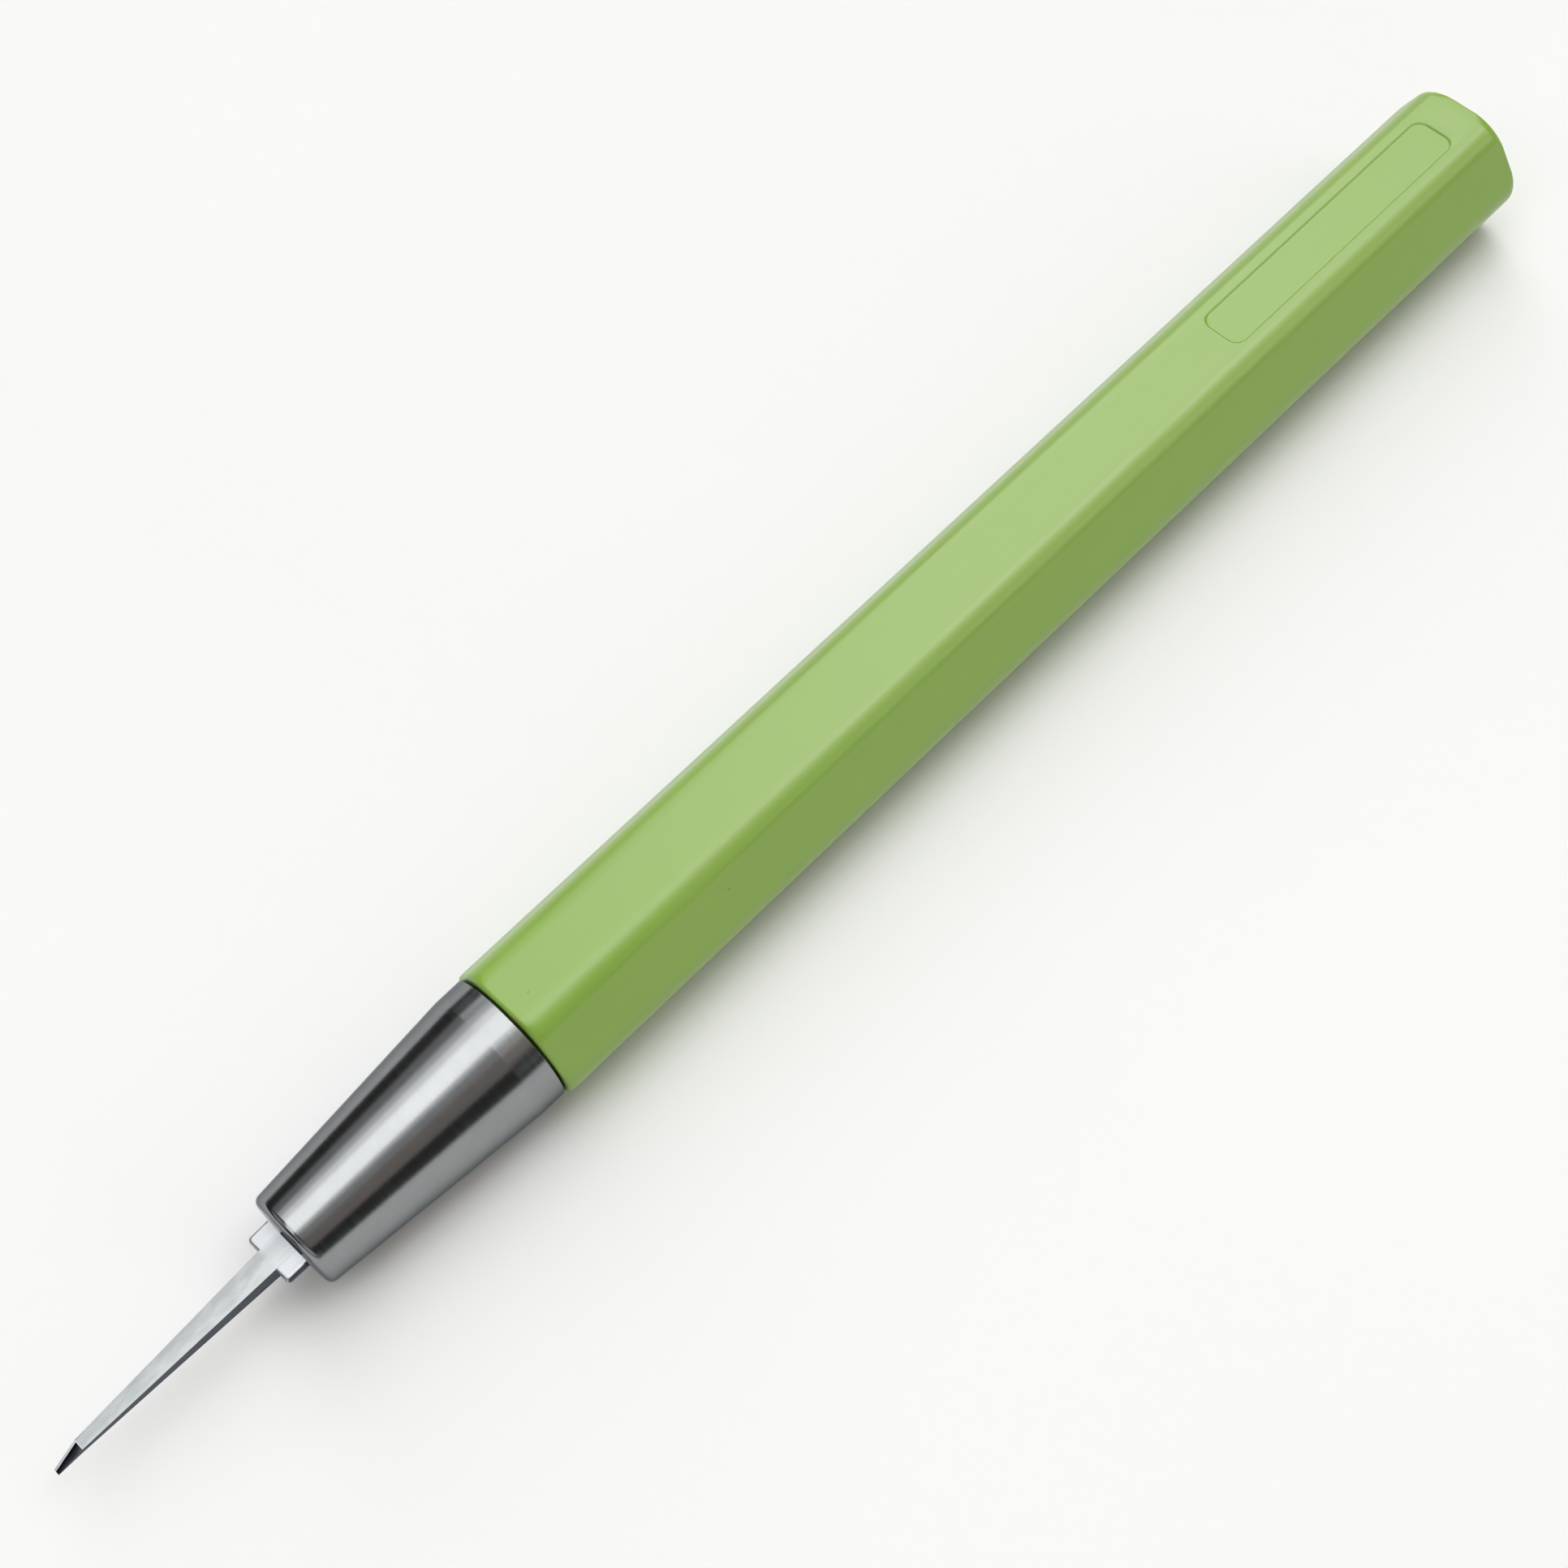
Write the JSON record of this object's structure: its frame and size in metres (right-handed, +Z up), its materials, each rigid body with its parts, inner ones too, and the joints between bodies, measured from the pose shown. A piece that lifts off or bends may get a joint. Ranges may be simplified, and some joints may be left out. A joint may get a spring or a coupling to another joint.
{
  "type": "deburring tool",
  "caption": "Pen-type deburring scraper: hexagonal moulded handle, screw-on tapered steel nose closing a split collet, and a slim shouldered blade with a bevelled tip.",
  "frame": {"origin": "on the surface that the tool lies on, under the middle of its box", "axes": "+X along the tool from the blade's tip to the handle's tail, +Z up through the flat with the panel, and the tool lies on the opposite flat"},
  "size_m": [0.1332, 0.0108, 0.01],
  "materials": {
    "handle_plastic": "pale green moulded plastic, glossy",
    "stud_brass": "turned brass",
    "collet_steel": "turned and slit steel",
    "nose_steel": "fine turned steel, bright plated",
    "blade_steel": "ground steel with a polished tip bevel"
  },
  "bodies": {
    "handle": {"handle": "handle_plastic", "chuck_stud": "stud_brass"},
    "collet": {"collet": "collet_steel"},
    "nose": {"nose": "nose_steel"},
    "blade": {"blade": "blade_steel"}
  },
  "joints": [
    {"name": "nose_travel", "type": "slide", "parent": "handle", "child": "collet", "axis": [-1, 0, 0], "range_m": [0, 0.006]},
    {"name": "nose_turn", "type": "hinge", "parent": "collet", "child": "nose", "pos_m": [-0.038, 0, 0.005], "axis": [-1, 0, 0], "range_deg": [0, 2165]},
    {"name": "blade_pull", "type": "slide", "parent": "collet", "child": "blade", "axis": [-1, 0, 0], "range_m": [0, 0.0095]}
  ],
  "couplings": [
    {"joint": "nose_turn", "follows": "nose_travel", "rad_per_m": 6283.2}
  ]
}
